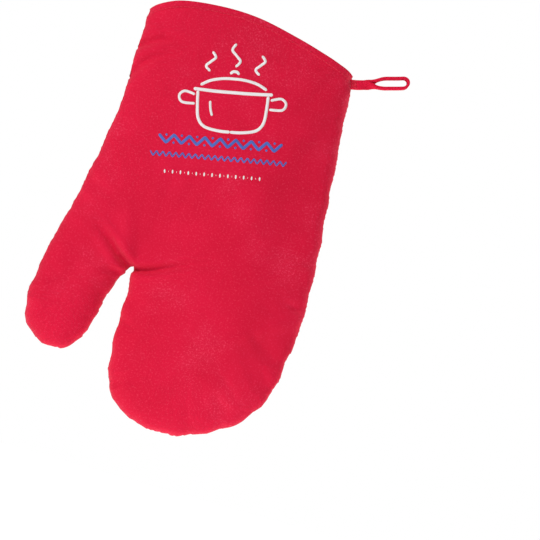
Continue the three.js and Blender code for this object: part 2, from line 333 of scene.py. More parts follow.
rising, falling = across_rows(pattern)
off_rising = np.abs(rising - np.round(rising)) * RISING_PITCH
off_falling = np.abs(falling - np.round(falling)) * FALLING_PITCH
near_row = np.minimum(off_rising, off_falling)
row_room = np.clip(seam_distance / ROW_FADE, 0, 1)
depth_back = HALF_DEPTH["back"] * dome
depth_palm = HALF_DEPTH["palm"] * dome - ROW_DEPTH * row_room * np.exp(-((near_row / ROW_WIDTH) ** 2))
print("depth of the back", round(float(depth_back.max()), 1),
      "of the palm", round(float(depth_palm.max()), 1))

# %% The two panels sewn into one mesh
TOUCHING = 0.01
ROW_PULL, ROW_PULL_WIDTH = 1.2, 5.0
SEAM_WAVE, WAVE_LENGTH, WAVE_DRIFT = 1.6, 23.0, 31.0
WAVES_FROM, WAVES_GROW = 10.0, 20.0
PULL_REACH, RIM_CLEAR = 6.0, 12.0
CORNER_ROUND, CORNER_WIDTH = 2.2, 3.2
on_seam = seam_distance < TOUCHING
rim_distance = distance_to(pattern, rim)[0]
on_rim = (rim_distance < TOUCHING) & ~on_seam
count = len(pattern)
palm_of = np.where(on_seam, np.arange(count), count + np.cumsum(~on_seam) - 1)
seam_run = np.gradient(seam_line, axis=0)
seam_in = np.stack([seam_run[:, 1], -seam_run[:, 0]], axis=1) / np.linalg.norm(seam_run, axis=1)[:, None]
seam_place = np.concatenate([[0], np.cumsum(np.linalg.norm(np.diff(seam_line, axis=0), axis=1))])
nearest = np.array([nearest_to(p, seam_line) for p in pattern])
waves = 0.5 + 0.5 * np.sin(seam_place * TURN / WAVE_LENGTH + np.sin(seam_place / WAVE_DRIFT))
below_crotch = np.clip((CROTCH[1] - WAVES_FROM - pattern[:, 1]) / WAVES_GROW, 0, 1)
pull = ROW_PULL * np.exp(-((near_row / ROW_PULL_WIDTH) ** 2))
pull += SEAM_WAVE * below_crotch * waves[nearest] ** 2
pull *= np.exp(-seam_distance / PULL_REACH) * (rim_distance > RIM_CLEAR)
corner_shift = np.zeros_like(pattern)
for corner in (CUFF[0], CUFF[-1]):
    near = CORNER_ROUND * np.exp(-(np.linalg.norm(pattern - corner, axis=1) / CORNER_WIDTH) ** 1.5)
    corner_shift += near[:, None] * np.array([-0.5 * np.sign(corner[0]), -0.86])
drawn_in = pattern + seam_in[nearest] * pull[:, None] + corner_shift
points = np.vstack([
    np.stack([drawn_in[:, 0], np.where(on_seam, 0, -depth_back), drawn_in[:, 1]], axis=1),
    np.stack([drawn_in[:, 0], depth_palm, drawn_in[:, 1]], axis=1)[~on_seam],
]) * MM
pattern_at = np.concatenate([np.arange(count), np.nonzero(~on_seam)[0]])
print("sewn", len(points), "points, on the seam", int(on_seam.sum()))

# %% [markdown]
# Quads fold and smooth better than triangles, so the lattice's triangles are joined in pairs, part by
# part: no quad may cross a fold, because the mitt comes apart there into its hand, thumb and fingers.

# %% Quads, part by part
HAND, THUMB, FINGERS = 0, 1, 2


def part_of(middle):
    """Which part of the mitt a place on the pattern belongs to."""
    if middle[1] < CROTCH[1] and middle[0] > CROTCH[0]:
        return FINGERS
    run = np.subtract(THUMB_SIDE[THUMB_FOLD_AT], CROTCH)
    below = run[0] * (middle[1] - CROTCH[1]) - run[1] * (middle[0] - CROTCH[0])
    return THUMB if below > 0 else HAND


def quads_of(faces):
    """The triangles of one part, joined in pairs where two make a fair quad."""
    bm = bmesh.new()
    made = [bm.verts.new((x, z, 0)) for x, z in pattern]
    for f in faces:
        bm.faces.new([made[i] for i in f])
    bm.verts.index_update()
    bmesh.ops.recalc_face_normals(bm, faces=bm.faces)
    bmesh.ops.join_triangles(bm, faces=bm.faces, angle_face_threshold=3.1, angle_shape_threshold=1.0)
    found = [[v.index for v in f.verts] for f in bm.faces]
    bm.free()
    return found


def facing(face):
    """The face with its points in the order that turns it towards -Y."""
    return list(face) if signed_area(pattern[face]) > 0 else list(face)[::-1]


part_of_triangle = np.array([part_of(pattern[t].mean(axis=0)) for t in triangles])
faces, face_part = [], []
for part in (HAND, THUMB, FINGERS):
    for face in quads_of(triangles[part_of_triangle == part]):
        faces.append(facing(face))
        face_part.append(part)
sewn = faces + [[int(palm_of[i]) for i in face[::-1]] for face in faces]
sewn_part = np.array(face_part * 2)
sewn_side = np.repeat([0, 1], len(faces))
print("quads", sum(len(f) == 4 for f in faces), "triangles left", sum(len(f) == 3 for f in faces))


def mesh_object(name, vertices, faces):
    mesh = bpy.data.meshes.new(name)
    mesh.from_pydata([tuple(v) for v in np.asarray(vertices, float)], [], [tuple(map(int, f)) for f in faces])
    mesh.update()
    made = bpy.data.objects.new(name, mesh)
    scene.collection.objects.link(made)
    return made


def weights(made, name, values):
    """A vertex group with one weight for each point. Its name is returned."""
    group = made.vertex_groups.new(name=name)
    for level in np.unique(np.round(values, 2)):
        group.add(np.nonzero(np.round(values, 2) == level)[0].tolist(), float(level), "REPLACE")
    return name


# %% Filling it
PRESSURE = 3.0
FRAMES = 18
ON_ROW, HELD_FROM_SEAM = 0.02, 5.0
BACK_FULLNESS, PALM_FULLNESS = -0.001, -0.07
form = mesh_object("form", points, sewn)
on_row = (near_row < ON_ROW) & (seam_distance > HELD_FROM_SEAM)
held = np.concatenate([on_seam | on_rim, (on_rim | on_row)[~on_seam]]).astype(float)
palm_side = np.concatenate([np.zeros(count), np.ones(int((~on_seam).sum()))])
cloth = form.modifiers.new("cloth", "CLOTH")
settings = cloth.settings
settings.quality = 5
settings.mass = 0.15
settings.tension_stiffness = settings.compression_stiffness = 15
settings.shear_stiffness = 5
settings.bending_stiffness = 0.4
settings.use_pressure = True
settings.uniform_pressure_force = PRESSURE
settings.effector_weights.gravity = 0
settings.vertex_group_mass = weights(form, "held", held)
settings.vertex_group_shrink = weights(form, "fullness", palm_side)
settings.shrink_min, settings.shrink_max = BACK_FULLNESS, PALM_FULLNESS
cloth.point_cache.frame_end = FRAMES
for moment in range(1, FRAMES + 1):
    scene.frame_set(moment)
filled = bpy.data.meshes.new_from_object(form.evaluated_get(bpy.context.evaluated_depsgraph_get()))
form.modifiers.clear()
form.data = filled
scene.frame_set(1)
form_points = np.array([v.co for v in form.data.vertices]) / MM

# The smoothing evens out the seam and draws it in, so the outline is put back afterwards.
SEAM_BAND, SEAM_ROUNDS = 6.0, 22
OUTLINE_GAIN, OUTLINE_REACH = 1.0, 14.0
neighbours = [[] for _ in form_points]
for edge in form.data.edges:
    i, j = edge.vertices
    neighbours[i].append(j)
    neighbours[j].append(i)
in_band = np.nonzero((seam_distance[pattern_at] < SEAM_BAND) & (rim_distance[pattern_at] > TOUCHING))[0]
for _ in range(SEAM_ROUNDS):
    calm = form_points.copy()
    for i in in_band:
        share = 0.5 * (1 - seam_distance[pattern_at[i]] / SEAM_BAND)
        calm[i] = (1 - share) * form_points[i] + share * form_points[neighbours[i]].mean(axis=0)
    form_points = calm
seam_points = [nearest_to(p, pattern) for p in seam_line]
lost = drawn_in[seam_points] - form_points[seam_points][:, [0, 2]] - seam_in * OUTLINE_GAIN
lost = np.stack([np.convolve(np.pad(lost[:, k], 1, "edge"), np.ones(3) / 3, "valid") for k in (0, 1)], axis=1)
near_seam = np.exp(-seam_distance[pattern_at] / OUTLINE_REACH)[:, None]
form_points[:, [0, 2]] += lost[nearest[pattern_at]] * near_seam
form.data.vertices.foreach_set("co", (form_points * MM).ravel())
form.data.update()
print("filled: moved", np.round(np.abs(form_points - points / MM).max(axis=0), 1),
      "mm, depth", np.round([form_points[:, 1].min(), form_points[:, 1].max()], 1))

# %% [markdown]
# ## From the form to the cloth
# The form is smoothed once, whole, so that nothing opens at the folds. Then each layer is taken from
# it: the outer cloth at the surface, the wadding under it and the lining inside, each a closed shell.
# Keeping the whole form's normals on each piece hides the line where two pieces meet.

# %% The smooth form
ROW_CREASE, CREASED_FROM_SEAM = 0.75, 4.0
PUCKER = {"seam": 0.35, "row": 0.8}
SEAM_PUCKERS, ROW_PUCKERS = (7.3, 11.1, 17.9), (6.1, 9.7, 15.3)
SEAM_GROOVE = 1.1
FOLDS = [  # line, depth (a ridge where it is negative), half width
    ([CROTCH, (-47, -206.5), (-55, -201), (-63.5, -193.5), (-77, -184)], 5.2, 2.7),
    ([CROTCH, (-31, -209), (-22, -206), (-1, -197.5), (18, -190)], 4.3, 2.5),
    ([CROTCH, (-51, -214.5), (-69, -218)], 2.6, 2.3),
    ([(-44, -203), (-48, -192), (-53, -176), (-56, -158)], -3.4, 6.5),
    ([(92, -168), (70, -184), (47, -201), (22, -211)], -3.2, 7.0),
    ([(90, -216), (62, -235), (32, -255), (8, -262)], -3.2, 7.0),
    ([(-84.4, -45), (-74, -40), (-60, -34), (-40, -34)], 3.8, 3.0),
    ([(-84.4, -73), (-76, -60), (-64, -48), (-46, -42)], 3.4, 3.0),
    ([(-113, -251), (-106, -250), (-97, -246)], 1.6, 2.6),
    ([(-94, -150), (-80, -158), (-66, -160)], 1.2, 4.0),
    ([(88, -70), (70, -78), (48, -80)], 1.1, 4.5),
    ([(-39, -250), (-30, -254), (-18, -256)], 1.3, 2.8),
    ([(-34, -300), (-27, -296), (-17, -288)], 1.2, 2.8),
    ([(97, -205), (86, -206), (74, -203)], 1.1, 3.0),
]


def attribute(mesh, name, kind, domain, values):
    made = mesh.attributes.new(name, kind, domain)
    made.data.foreach_set("vector" if kind == "FLOAT_VECTOR" else "value", np.ravel(values))


place_on_pattern = np.zeros((len(form_points), 3))
place_on_pattern[:count, :2] = pattern
place_on_pattern[palm_of, :2] = pattern
attribute(form.data, "part", "INT", "FACE", sewn_part)
attribute(form.data, "side", "INT", "FACE", sewn_side)
attribute(form.data, "pattern", "FLOAT_VECTOR", "POINT", place_on_pattern)
sharp = form.data.attributes.new("crease_edge", "FLOAT", "EDGE")
stitched_rows = [(off < ON_ROW) & (seam_distance > CREASED_FROM_SEAM) for off in (off_rising, off_falling)]
for edge in form.data.edges:
    i, j = (pattern_at[v] for v in edge.vertices)
    if max(edge.vertices) >= count and any(row[i] and row[j] for row in stitched_rows):
        sharp.data[edge.index].value = ROW_CREASE
smoothing = form.modifiers.new("smoothing", "SUBSURF")
smoothing.levels = smoothing.render_levels = 1
whole = bpy.data.meshes.new_from_object(form.evaluated_get(bpy.context.evaluated_depsgraph_get()))


def rough_wave(place, lengths):
    """A wave that never repeats evenly: the mean of a few sines whose lengths share no factor."""
    sines = [np.sin(place * TURN / length + k * 1.7) for k, length in enumerate(lengths)]
    return sum(sines) / len(lengths)


def folded(points, line, depth, width):
    """A fold along a line: a groove between two low swells, or one ridge, deepest a little way in from
    its first point and dying away towards its last."""
    off, along = distance_to(points, spaced(smooth(line), 2.0))
    strength = depth * (1 - along) ** 0.8 * np.minimum(1, 0.35 + along * 6)
    groove = np.exp(-((off / width) ** 2))
    if depth > 0:
        groove = groove - 0.45 * np.exp(-(((off - 2.4 * width) / (1.3 * width)) ** 2))
    return strength * groove


def puckers(mesh):
    """Folds on the plain panel, short wrinkles square to the seam on both panels, wrinkles square to the
    quilting rows on the palm, and a groove all along the side seam."""
    at = read(mesh, "pattern", "vector", len(mesh.vertices))[:, :2]
    co = np.array([v.co for v in mesh.vertices])
    seam_off, seam_along = distance_to(at, seam_line)
    seam_mm = seam_along * np.linalg.norm(np.diff(seam_line, axis=0), axis=1).sum()
    height = PUCKER["seam"] * rough_wave(seam_mm, SEAM_PUCKERS) * np.exp(-((seam_off - 5) / 5) ** 2)
    rise, fall = across_rows(at)
    palm = co[:, 1] > 0
    height -= (co[:, 1] < 0) * sum(folded(at, *fold) for fold in FOLDS) * np.clip(seam_off / 3, 0.15, 1)
    sets = ((rise, RISING_PITCH, at[:, 0] * COS + at[:, 1] * SIN, 0),
            (fall, FALLING_PITCH, at[:, 0] * COS - at[:, 1] * SIN, 40))
    for row, pitch, run, phase in sets:
        off = np.abs(row - np.round(row)) * pitch
        wave = rough_wave(run + phase * np.round(row), ROW_PUCKERS)
        height += palm * PUCKER["row"] * wave * np.exp(-((off - 4) / 4.5) ** 2) * np.clip(seam_off / 10, 0, 1)
    co[:, 1] += np.sign(co[:, 1]) * height * MM
    for i in np.nonzero((seam_off < 0.4) & (distance_to(at, rim)[0] > RIM_CLEAR))[0]:
        co[i, [0, 2]] += seam_in[nearest_to(at[i], seam_line)] * SEAM_GROOVE * MM
    mesh.vertices.foreach_set("co", co.ravel())
    mesh.update()


def read(mesh, name, kind, domain_size):
    width = 3 if kind == "vector" else 1
    values = np.zeros(domain_size * width)
    mesh.attributes[name].data.foreach_get(kind, values)
    return values.reshape(-1, width) if width > 1 else values.astype(int)


class Form:
    """The numbers of a mesh of the form: points in metres, normals, faces, and where each belongs."""

    def __init__(self, mesh):
        self.points = np.array([v.co for v in mesh.vertices])
        self.normals = np.array([v.normal for v in mesh.vertices])
        self.faces = [list(p.vertices) for p in mesh.polygons]
        self.part = read(mesh, "part", "value", len(mesh.polygons))
        self.side = read(mesh, "side", "value", len(mesh.polygons))
        self.pattern = read(mesh, "pattern", "vector", len(mesh.vertices))[:, :2]


puckers(whole)
puckers(form.data)
fine = Form(whole)
coarse = Form(form.data)
bpy.data.objects.remove(form)
print("smooth form", len(fine.points), "points")

# %% A closed shell of one layer
SIDES = {"back": 0, "palm": 1}
GROUPS = {"hand": (HAND, THUMB), "fingers": (FINGERS,)}


def shell(name, source, side, parts, outer, inner):
    """A closed shell between two depths under the form. A depth is a length in metres along the normal,
    or a function of the form that gives one offset for each point."""
    chosen = np.isin(source.part, parts) & (source.side == SIDES[side])
    picked = [source.faces[i] for i in np.nonzero(chosen)[0]]
    used = np.unique(np.concatenate([np.array(f) for f in picked]))
    renumber = {int(old): new for new, old in enumerate(used)}
    top = [[renumber[i] for i in f] for f in picked]
    n = len(used)

    def moved(depth):
        offset = depth(source)[used] if callable(depth) else -depth * source.normals[used]
        return source.points[used] + offset

    edges = {}
    for f in top:
        for i, j in zip(f, f[1:] + f[:1]):
            edges[(i, j)] = edges.get((i, j), 0) + 1
    rim_edges = [(i, j) for (i, j) in edges if (j, i) not in edges]
    walls = [[j, i, i + n, j + n] for i, j in rim_edges]
    under = [[i + n for i in f[::-1]] for f in top]
    made = mesh_object(name, np.vstack([moved(outer), moved(inner)]), top + under + walls)
    mesh = made.data
    mesh.polygons.foreach_set("use_smooth", [True] * len(mesh.polygons))
    uv = mesh.uv_layers.new(name="cloth")
    flat_uv = np.vstack([source.pattern[used]] * 2) * MM
    loops = np.zeros(len(mesh.loops), int)
    mesh.loops.foreach_get("vertex_index", loops)
    uv.data.foreach_set("uv", flat_uv[loops].ravel())
    normals = np.vstack([source.normals[used], -source.normals[used]])
    mesh.normals_split_custom_set_from_vertices([tuple(v) for v in normals])
    return made

# %% [markdown]
# ## Finishes
# Cotton twill shows as fine slanting ribs, a dusting of lighter fibre ends, paler patches that are partly
# dust and partly painted sheen, and slow changes of tone where the dye took more or less. Each of these is a
# pattern on the cloth's own UV map, so it bends with the cloth. A small class wraps a socket, so that shader
# maths reads as ordinary arithmetic.

# %% Shader maths as arithmetic
class Value:
    """The output of a shader node, which can be added, subtracted and multiplied."""

    def __init__(self, shader, socket):
        self.shader = shader
        self.socket = socket

    def join(self, operation, first, second):
        return self.shader.node("ShaderNodeMath", {"operation": operation}, {0: first, 1: second})

    def __add__(self, other):
        return self.join("ADD", self, other)

    def __sub__(self, other):
        return self.join("SUBTRACT", self, other)

    def __mul__(self, other):
        return self.join("MULTIPLY", self, other)

    def sine(self):
        return self.join("SINE", self, 0)

    def above(self, low, high):
        """0 below low, 1 above high, smooth between."""
        return self.shader.node("ShaderNodeMapRange", {"interpolation_type": "SMOOTHSTEP"},
                                {"Value": self, "From Min": low, "From Max": high})


class Shader:
    """A material and its one shader. Every other node comes from node()."""

    def __init__(self, name, **constants):
        self.material = bpy.data.materials.new(name)
        self.material.use_nodes = True
        self.tree = self.material.node_tree
        self.surface = self.tree.nodes["Principled BSDF"]
        for key, value in constants.items():
            self.surface.inputs[key.replace("_", " ")].default_value = value

    def node(self, kind, options=None, inputs=None, output=0):
        made = self.tree.nodes.new(kind)
        for key, value in (options or {}).items():
            setattr(made, key, value)
        for key, value in (inputs or {}).items():
            self.set(made.inputs[key], value)
        return Value(self, made.outputs[output])

    def set(self, socket, value):
        if isinstance(value, Value):
            self.tree.links.new(value.socket, socket)
        else:
            socket.default_value = value

    def mix(self, factor, a, b):
        made = self.tree.nodes.new("ShaderNodeMix")
        made.data_type = "RGBA"
        by_name = {s.identifier: s for s in made.inputs}
        self.set(by_name["Factor_Float"], factor)
        self.set(by_name["A_Color"], a)
        self.set(by_name["B_Color"], b)
        return Value(self, next(s for s in made.outputs if s.identifier == "Result_Color"))

    def noise(self, place, scale, detail=2.0, roughness=0.5):
        return self.node("ShaderNodeTexNoise", {}, {"Vector": place, "Scale": scale, "Detail": detail,
                                                    "Roughness": roughness})

    def bump(self, height, distance, strength=1.0):
        self.set(self.surface.inputs["Normal"], self.node(
            "ShaderNodeBump", {}, {"Height": height, "Distance": distance, "Strength": strength}))

    def colour(self, value):
        self.set(self.surface.inputs["Base Color"], value)

    def uv(self):
        return self.node("ShaderNodeTexCoord", {}, {}, "UV")

    def object_place(self):
        return self.node("ShaderNodeTexCoord", {}, {}, "Object")


def rgba(r, g, b):
    return (r, g, b, 1.0)


# %% Woven cloth
RIB_PITCH = 1.1 * MM
WEAVE_HEIGHT = 0.35 * MM
FIBRE_SCALE, SPECK_SCALE, TONE_SCALE, DUST_AND_SHEEN_SCALE = 1400.0, 680.0, 22.0, 15.0


def woven(name, base, light, dark, twill=True, speckle=0.75, sheen=0.2, on_uv=True):
    """Cotton cloth: ribs or a plain weave, fibre ends as light specks, patches of dust and painted sheen,
    slow changes of tone.
    """
    cloth = Shader(name, Roughness=0.92, Specular_IOR_Level=0.12, Sheen_Weight=sheen,
                   Sheen_Roughness=0.38, Sheen_Tint=rgba(1, 0.55, 0.6) if twill else light)
    place = cloth.uv() if on_uv else cloth.object_place()
    split = cloth.tree.nodes.new("ShaderNodeSeparateXYZ")
    cloth.set(split.inputs[0], place)
    across, along = Value(cloth, split.outputs["X"]), Value(cloth, split.outputs["Y" if on_uv else "Z"])
    wander = cloth.noise(place, 60.0, 2.0)
    if twill:
        ribs = ((across * 0.8 + along + wander * 0.004) * (TURN / RIB_PITCH)).sine()
        yarns = ((across * 0.8 - along * 1.3) * (TURN / (RIB_PITCH * 0.8))).sine()
        weave = ribs * 0.65 + yarns * 0.25
    else:
        weave = ((across * (TURN / RIB_PITCH)).sine() + (along * (TURN / RIB_PITCH)).sine()) * 0.5
    fibres = cloth.noise(place, FIBRE_SCALE, 4.0, 0.7)
    tone = cloth.noise(place, TONE_SCALE, 3.0)
    # Paler patches at random: partly dust, partly painted sheen standing in for the cloth's highlights.
    dust_and_sheen = cloth.noise(place, DUST_AND_SHEEN_SCALE, 4.0, 0.65).above(0.5, 0.68)
    specks = cloth.noise(place, SPECK_SCALE, 3.0, 0.8).above(0.52, 0.66)
    # Mix towards the light colour: fibre ends as specks, with more of them and a painted sheen in the
    # patches.
    lint_and_sheen = specks * (dust_and_sheen * 0.55 + 0.42) * speckle + dust_and_sheen * fibres.above(0.42, 0.6) * 0.2
    cloth.colour(cloth.mix(lint_and_sheen, cloth.mix(tone.above(0.3, 0.7) * 0.5, base, dark), light))
    cloth.bump(weave * 0.5 + fibres, WEAVE_HEIGHT, 0.8)
    return cloth.material


RED = rgba(0.67, 0.0065, 0.042)
# The lighter red of the fibre ends and of the painted sheen patches.
RED_LIGHT = rgba(0.80, 0.060, 0.130)
RED_DARK = rgba(0.58, 0.0045, 0.030)
twill = woven("red cotton twill", RED, RED_LIGHT, RED_DARK)
binding_cloth = woven("red binding cloth", RED, RED_LIGHT, RED_DARK, on_uv=False)
tape_cloth = woven("red tape", RED, RED_LIGHT, RED_DARK, twill=False, speckle=0.3)
lining_cloth = woven("natural cotton lining", rgba(0.72, 0.67, 0.58), rgba(0.85, 0.82, 0.75),
                     rgba(0.62, 0.57, 0.48), twill=False)
fleece = woven("white wadding", rgba(0.82, 0.80, 0.75), rgba(0.92, 0.91, 0.88),
               rgba(0.7, 0.68, 0.62), twill=False, speckle=1.0, sheen=0.5)
white_print = woven("white print", rgba(0.86, 0.83, 0.84), rgba(0.93, 0.92, 0.92),
                    rgba(0.80, 0.70, 0.72), speckle=0.3, on_uv=False)
blue_print = woven("blue print", rgba(0.085, 0.15, 0.50), rgba(0.16, 0.25, 0.62),
                   rgba(0.05, 0.08, 0.36), speckle=0.4, on_uv=False)

# %% Sewing thread
sewing_thread = Shader("red thread", Roughness=0.6, Specular_IOR_Level=0.3)
spun = sewing_thread.noise(sewing_thread.object_place(), 2600.0, 2.0)
sewing_thread.colour(sewing_thread.mix(spun.above(0.35, 0.7), rgba(0.56, 0.006, 0.03),
                                       rgba(0.78, 0.03, 0.075)))
sewing_thread.bump(spun, 0.1 * MM, 0.5)
thread = sewing_thread.material
print("finishes", len(bpy.data.materials))

# %% [markdown]
# ## Cloth, wadding and lining
# A padded panel could be one thick shell, but a sewn mitt is separate sheets, and a look into the cuff
# shows them. The outer cloth is thin and follows the form's surface. The wadding and the lining
# are set in from it, less where the two panels come together at the seam.

# %% How far the layers sit under the surface
CLOTH_MM = 0.6
STACK_MM = {"back": 5.5, "palm": 7.0}
SEAM_ALLOWANCE = 3.0
RIM_SHORT, CORNER_SHORT = 1.2, 3.0


def room(y, side):
    """How much of the stack of layers fits between a panel's surface and the seam plane, from 0 to 1."""
    return np.clip((np.abs(y) / MM - 1.0) / STACK_MM[side], 0, 1)


def under(depth, side):
    """Offsets that bring the form's points in by a depth: towards the seam plane but never past it, and
    at the seam towards the inside of the mitt."""
    def offsets(source):
        y = source.points[:, 1]
        at_seam = np.exp(-((distance_to(source.pattern, seam_line)[0] / 9) ** 2))[:, None]
        offset = -source.normals * at_seam * (SEAM_ALLOWANCE + 0.15 * depth) * MM
        offset[:, 1] = -np.sign(y) * depth * room(y, side) * MM
        offset[:, 2] -= RIM_SHORT * MM * np.exp(-((distance_to(source.pattern, rim)[0] / 3) ** 2))
        for corner in (rim[0], rim[-1]):
            near = np.exp(-((np.linalg.norm(source.pattern - corner, axis=1) / 9) ** 2))
            offset[:, 0] -= np.sign(corner[0]) * CORNER_SHORT * MM * near
            offset[:, 2] -= CORNER_SHORT * MM * near
        return offset
    return offsets


# %% The layers of both panels
def cloth_area(parts):
    """Area of one layer's pattern, in square metres."""
    used = [face for face, part in zip(faces, face_part) if part in parts]
    return sum(abs(signed_area(pattern[face])) for face in used) * MM**2


def bends(piece, group):
    """Bakes a piece's place into its mesh. For the hand group it also works out the run of the thumb's fold,
    which nothing uses.
    """
    if group == "hand":
        run_x, run_z = np.subtract(THUMB_SIDE[THUMB_FOLD_AT], CROTCH)
        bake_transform(piece)
    else:
        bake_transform(piece)


LAYERS = {  # name: form, depths, finish, slot
    "cloth": (fine, lambda side: (0.0, CLOTH_MM * MM), twill, "red_twill"),
    "wadding": (coarse, lambda side: (under(1.7, side), under(STACK_MM[side] - 1.1, side)),
                fleece, "wadding"),
    "lining": (coarse, lambda side: (under(STACK_MM[side] - 0.8, side), under(STACK_MM[side], side)),
               lining_cloth, "lining_cloth"),
}
for layer, (source, depths, finish, slot) in LAYERS.items():
    for side in SIDES:
        for group, parts in GROUPS.items():
            outer, inner = depths(side)
            piece = shell(f"{side}_{layer}_piece_{group}", source, side, parts, outer, inner)
            piece.data.materials.append(finish)
            bends(piece, group)
            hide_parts(*[f"{side}_{layer}_{part}" for part in
                                 (("hand", "thumb") if group == "hand" else ("fingers",))])
            if layer == "wadding":
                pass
            else:
                cloth_area(parts)
    print(layer, "made of four pieces")

# %% [markdown]
# ## Finding the surface
# The binding, the print and the rows of stitches all lie on the cloth. A ray sent through the mitt at
# a place on the pattern finds the cloth's surface and its normal there.

# %% Rays onto a panel
RAY_START = 0.1
trees = {}
for side, number in SIDES.items():
    chosen = [f for f, s in zip(fine.faces, fine.side) if s == number]
    trees[side] = BVHTree.FromPolygons([tuple(p) for p in fine.points], chosen)


def on_cloth(side, x, z):
    """The point and the normal of the panel at a place in millimetres, or at the nearest place on its
    edge when a ray passes beside it."""
    front = -1 if side == "back" else 1
    hit = trees[side].ray_cast(Vector((x * MM, front * RAY_START, z * MM)), Vector((0, -front, 0)))
    if hit[0] is None:
        hit = trees[side].find_nearest(Vector((x * MM, 0, z * MM)))
    normal = hit[1] if hit[1].y * front > 0 else -hit[1]
    return hit[0], normal


def swept(rings, closed=False):
    """Points and faces of a tube through rings of points, with end caps unless it closes on itself."""
    n, k = len(rings), len(rings[0])
    strip = [[i * k + j, i * k + (j + 1) % k, (i + 1) % n * k + (j + 1) % k, (i + 1) % n * k + j]
             for i in range(n if closed else n - 1) for j in range(k)]
    caps = [] if closed else [list(range(k))[::-1], list(range((n - 1) * k, n * k))]
    return [p for ring in rings for p in ring], strip + caps


INK_STEP, INK_LIFT, INK_SUNK = 0.7, 0.14, -0.1
INK_SECTION = ((-1, INK_LIFT), (0, INK_LIFT), (1, INK_LIFT), (1, INK_SUNK), (-1, INK_SUNK))


def stroke(line, width):
    """A flat stroke of ink along a line on the plain panel, with round ends."""
    line = spaced(line, INK_STEP)
    run = np.gradient(line, axis=0)
    run /= np.linalg.norm(run, axis=1)[:, None]
    sideways = np.stack([-run[:, 1], run[:, 0]], axis=1)
    from_end = np.minimum(np.arange(len(line)), np.arange(len(line))[::-1]) * INK_STEP
    half = width / 2 * np.sqrt(np.clip(1 - (1 - np.minimum(from_end / (width / 2), 1)) ** 2, 0.06, 1))
    rings = []
    for p, n, h in zip(line, sideways, half):
        ring = []
        for share, height in INK_SECTION:
            place, normal = on_cloth("back", *(p + n * h * share))
            ring.append(place + normal * height * MM)
        rings.append(ring)
    return swept(rings)


def joined(name, parts):
    """One object from several lists of points and faces."""
    vertices, all_faces = [], []
    for points_of, faces_of in parts:
        start = len(vertices)
        vertices += list(points_of)
        all_faces += [[start + i for i in f] for f in faces_of]
    made = mesh_object(name, [tuple(v) for v in vertices], all_faces)
    outwards = bmesh.new()
    outwards.from_mesh(made.data)
    bmesh.ops.recalc_face_normals(outwards, faces=outwards.faces)
    outwards.to_mesh(made.data)
    outwards.free()
    made.data.polygons.foreach_set("use_smooth", [True] * len(made.data.polygons))
    print(name, len(made.data.polygons), "faces")
    return made

# %% [markdown]
# ## Cuff
# The plain panel ends in a turned hem that is hardly a step, and the quilted panel in a wider binding.
# Both wrap over the raw ends of wadding and lining, so each is a bent strip: down the outside, over the
# top and down the inside. One closed ring carries both, which leaves no gap at the side seams.

# %% Hem and binding ring
HEM = {"back": (5.2, 0.35), "palm": (7.6, 0.7)}  # length of the legs, thickness
HEM_EDGE = 0.05
SEAM_LAYERS = 1.4
rim_now = drawn_in[[nearest_to(p, pattern) for p in rim]]


def unit(vector):
    return np.asarray(vector) / np.linalg.norm(vector)


SEAM_DOWN = {-1: unit(np.subtract(THUMB_SIDE[-2], THUMB_SIDE[-1])),
             1: unit(np.subtract(FINGER_SIDE[1], FINGER_SIDE[0]))}
CORNER_RUN = 14.0


def rim_stations(side):
    """Places along the cuff and the direction into the panel there, which turns to follow the side
    seams at the ends."""
    run = np.gradient(rim_now, axis=0)
    found = []
    for p, (along_x, along_z) in list(zip(rim_now, run))[1:-1]:
        room = min(1.0, np.linalg.norm(p - rim_now[0 if p[0] < 0 else -1]) / CORNER_RUN)
        found.append((p, unit(room * unit((along_z, -along_x)) + (1 - room) * SEAM_DOWN[int(np.sign(p[0]))])))
    return found if side == "back" else found[::-1]


def inner_face(place, side):
    """The place on the lining's inner face behind a place on the cloth, in metres."""
    stack = STACK_MM[side] * room(place.y, side)
    return Vector((place.x, place.y * (1 - min(0.9, stack / max(abs(place.y) / MM, 0.1))), place.z))


def down_the_leg(leg):
    """Distances down from the cuff's edge at which the strip has points."""
    return (leg, leg - 0.5, leg / 2, 0.5)


def bent_strip(outer, normals, inner, up, thick):
    """A ring of points round the strip: up the outside, over the top, down the inside and back."""
    n = normals[-1]
    raised = [o + normal * (HEM_EDGE if i == 0 else thick) * MM
              for i, (o, normal) in enumerate(zip(outer, normals))]
    top_out, top_in = outer[-1] + up * 0.5 * MM, inner[-1] + up * 0.5 * MM
    top = [top_out + n * thick * 0.8 * MM + up * 0.35 * MM,
           (top_out + top_in) / 2 + up * (thick + 0.5) * MM,
           top_in - n * thick * 0.8 * MM + up * 0.35 * MM]
    lining_side = [i - n * thick * MM for i in inner[::-1]]
    return [*raised, *top, *lining_side, *inner, top_in, top_out, *outer[::-1]]


def hem_ring(side, p, inward):
    """The ring at one place along the cuff of a panel."""
    leg, thick = HEM[side]
    found = [on_cloth(side, *(p + inward * d)) for d in down_the_leg(leg)]
    outer = [place for place, normal in found]
    inner = [inner_face(place, side) for place in outer]
    up = Vector((-inward[0], 0, -inward[1]))
    return bent_strip(outer, [normal for place, normal in found], inner, up, thick)


def seam_ring(hand):
    """The ring where hem and binding meet, on the side seam at the left (-1) or the right (1)."""
    leg, thick = np.mean([HEM["back"], HEM["palm"]], axis=0)
    down = SEAM_DOWN[hand]
    outwards = Vector((hand, 0, 0))
    outer = []
    for d in down_the_leg(leg):
        x, z = rim_now[0 if hand < 0 else -1] + down * d
        outer.append(trees["back"].find_nearest(Vector((x * MM, 0, z * MM)))[0])
        outer[-1].y = 0
    inner = [o - outwards * SEAM_LAYERS * MM for o in outer]
    return bent_strip(outer, [outwards] * len(outer), inner, Vector((-down[0], 0, -down[1])), thick)


